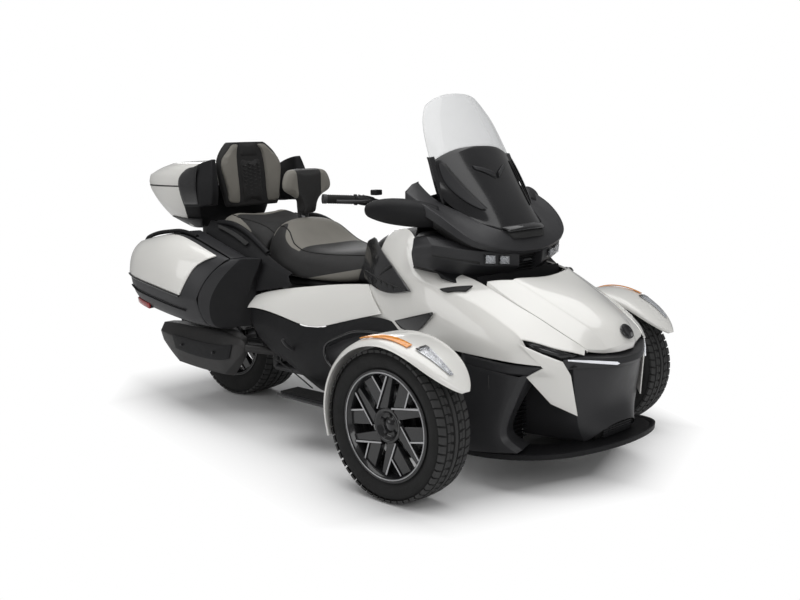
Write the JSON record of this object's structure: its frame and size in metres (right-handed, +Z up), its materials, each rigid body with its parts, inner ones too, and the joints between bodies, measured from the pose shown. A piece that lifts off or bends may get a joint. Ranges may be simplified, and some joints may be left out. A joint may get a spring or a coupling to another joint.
{
  "type": "touring reverse trike",
  "caption": "Touring three-wheeler with two steered front wheels, one driven rear wheel, screen, two seats and lidded luggage that opens.",
  "frame": {"origin": "on the ground under the middle of the overall length, on the centre plane", "axes": "+X forward, +Y to the rider's left, +Z up"},
  "size_m": [2.8285, 1.554, 1.464],
  "materials": {
    "black_steel": "satin",
    "engine_grey": "matt",
    "damper_black": "satin",
    "belt_rubber": "matt",
    "grey_plastic": "satin",
    "white_paint": "gloss",
    "black_plastic": "matt",
    "clear_lens": "gloss",
    "screen": "clear",
    "black_leather": "satin",
    "exhaust_black": "satin",
    "red_lens": "gloss",
    "cast_alloy": "satin",
    "tyre": "matt",
    "rim_black": "gloss"
  },
  "bodies": {
    "chassis": {"frame": "black_steel", "engine": "engine_grey", "lower_arms": "black_steel", "upper_arms": "black_steel", "dampers": "damper_black", "swingarm": "black_steel", "drive_belt": "belt_rubber", "fascia": "grey_plastic", "shoulder_panels": "white_paint", "trunk_tub": "black_plastic", "lamp_beak": "grey_plastic", "headlamps": "clear_lens", "fairing": "grey_plastic", "windscreen": "screen", "mirrors": "grey_plastic", "console": "grey_plastic", "side_covers": "black_plastic", "side_panels": "white_paint", "rider_seat": "black_leather", "passenger_seat": "black_leather", "rider_backrest": "black_leather", "passenger_backrest": "black_leather", "speaker_pods": "black_plastic", "topcase_base": "white_paint", "pannier_shells": "grey_plastic", "pannier_noses": "grey_plastic", "grab_handles": "black_plastic", "footboards": "black_plastic", "exhaust": "exhaust_black", "rear_fender": "black_plastic", "tail_lamps": "red_lens"},
    "handlebar": {"handlebar": "black_plastic"},
    "pitman": {"pitman_arm": "black_steel"},
    "tie_rod_right": {"tie_rod_right": "black_steel"},
    "tie_rod_left": {"tie_rod_left": "black_steel"},
    "knuckle_right": {"knuckle_right": "cast_alloy", "fender_right": "white_paint"},
    "knuckle_left": {"knuckle_left": "cast_alloy", "fender_left": "white_paint"},
    "wheel_right": {"front_tyre_right": "tyre", "front_rim_right": "rim_black"},
    "wheel_left": {"front_tyre_left": "tyre", "front_rim_left": "rim_black"},
    "rear_wheel": {"rear_tyre": "tyre", "rear_rim": "rim_black"},
    "hood": {"hood": "white_paint"},
    "topcase_lid": {"topcase_lid": "white_paint"},
    "pannier_lid_right": {"pannier_lid_right": "white_paint"},
    "pannier_lid_left": {"pannier_lid_left": "white_paint"}
  },
  "joints": [
    {"name": "handlebar_turn", "type": "hinge", "parent": "chassis", "child": "handlebar", "pos_m": [0.44, 0, 0.95], "axis": [-0.4226, 0, 0.9063], "range_deg": [-22, 22]},
    {"name": "pitman_swing", "type": "hinge", "parent": "chassis", "child": "pitman", "pos_m": [0.857, 0, 0.3], "axis": [0, 0, 1], "range_deg": [-28, 28]},
    {"name": "tie_rod_right_swing", "type": "hinge", "parent": "pitman", "child": "tie_rod_right", "pos_m": [0.747, 0, 0.315], "axis": [0, 0, 1], "range_deg": [-28, 28]},
    {"name": "tie_rod_left_swing", "type": "hinge", "parent": "pitman", "child": "tie_rod_left", "pos_m": [0.747, 0, 0.285], "axis": [0, 0, 1], "range_deg": [-28, 28]},
    {"name": "knuckle_right_turn", "type": "hinge", "parent": "chassis", "child": "knuckle_right", "pos_m": [0.857, -0.58, 0.3], "axis": [0, 0, 1], "range_deg": [-28, 28]},
    {"name": "knuckle_left_turn", "type": "hinge", "parent": "chassis", "child": "knuckle_left", "pos_m": [0.857, 0.58, 0.3], "axis": [0, 0, 1], "range_deg": [-28, 28]},
    {"name": "wheel_right_spin", "type": "hinge", "parent": "knuckle_right", "child": "wheel_right", "pos_m": [0.857, -0.67, 0.281], "axis": [0, 1, 0], "continuous": true},
    {"name": "wheel_left_spin", "type": "hinge", "parent": "knuckle_left", "child": "wheel_left", "pos_m": [0.857, 0.67, 0.281], "axis": [0, 1, 0], "continuous": true},
    {"name": "rear_wheel_spin", "type": "hinge", "parent": "chassis", "child": "rear_wheel", "pos_m": [-0.857, 0, 0.303], "axis": [0, 1, 0], "continuous": true},
    {"name": "hood_open", "type": "hinge", "parent": "chassis", "child": "hood", "pos_m": [0.938, 0, 0.716], "axis": [0, -1, 0], "range_deg": [0, 60]},
    {"name": "topcase_lid_open", "type": "hinge", "parent": "chassis", "child": "topcase_lid", "pos_m": [-0.862, 0, 1.16], "axis": [0, 1, 0], "range_deg": [0, 60]},
    {"name": "pannier_lid_right_open", "type": "hinge", "parent": "chassis", "child": "pannier_lid_right", "pos_m": [-0.52, -0.402, 0.424], "axis": [0.992, 0, -0.1259], "range_deg": [0, 60]},
    {"name": "pannier_lid_left_open", "type": "hinge", "parent": "chassis", "child": "pannier_lid_left", "pos_m": [-0.52, 0.402, 0.424], "axis": [-0.992, 0, 0.1259], "range_deg": [0, 60]}
  ],
  "couplings": [
    {"joint": "pitman_swing", "follows": "handlebar_turn", "ratio": 1.25},
    {"joint": "tie_rod_right_swing", "follows": "handlebar_turn", "ratio": -1.25},
    {"joint": "tie_rod_left_swing", "follows": "handlebar_turn", "ratio": -1.25},
    {"joint": "knuckle_right_turn", "follows": "handlebar_turn", "ratio": 1.25},
    {"joint": "knuckle_left_turn", "follows": "handlebar_turn", "ratio": 1.25}
  ]
}
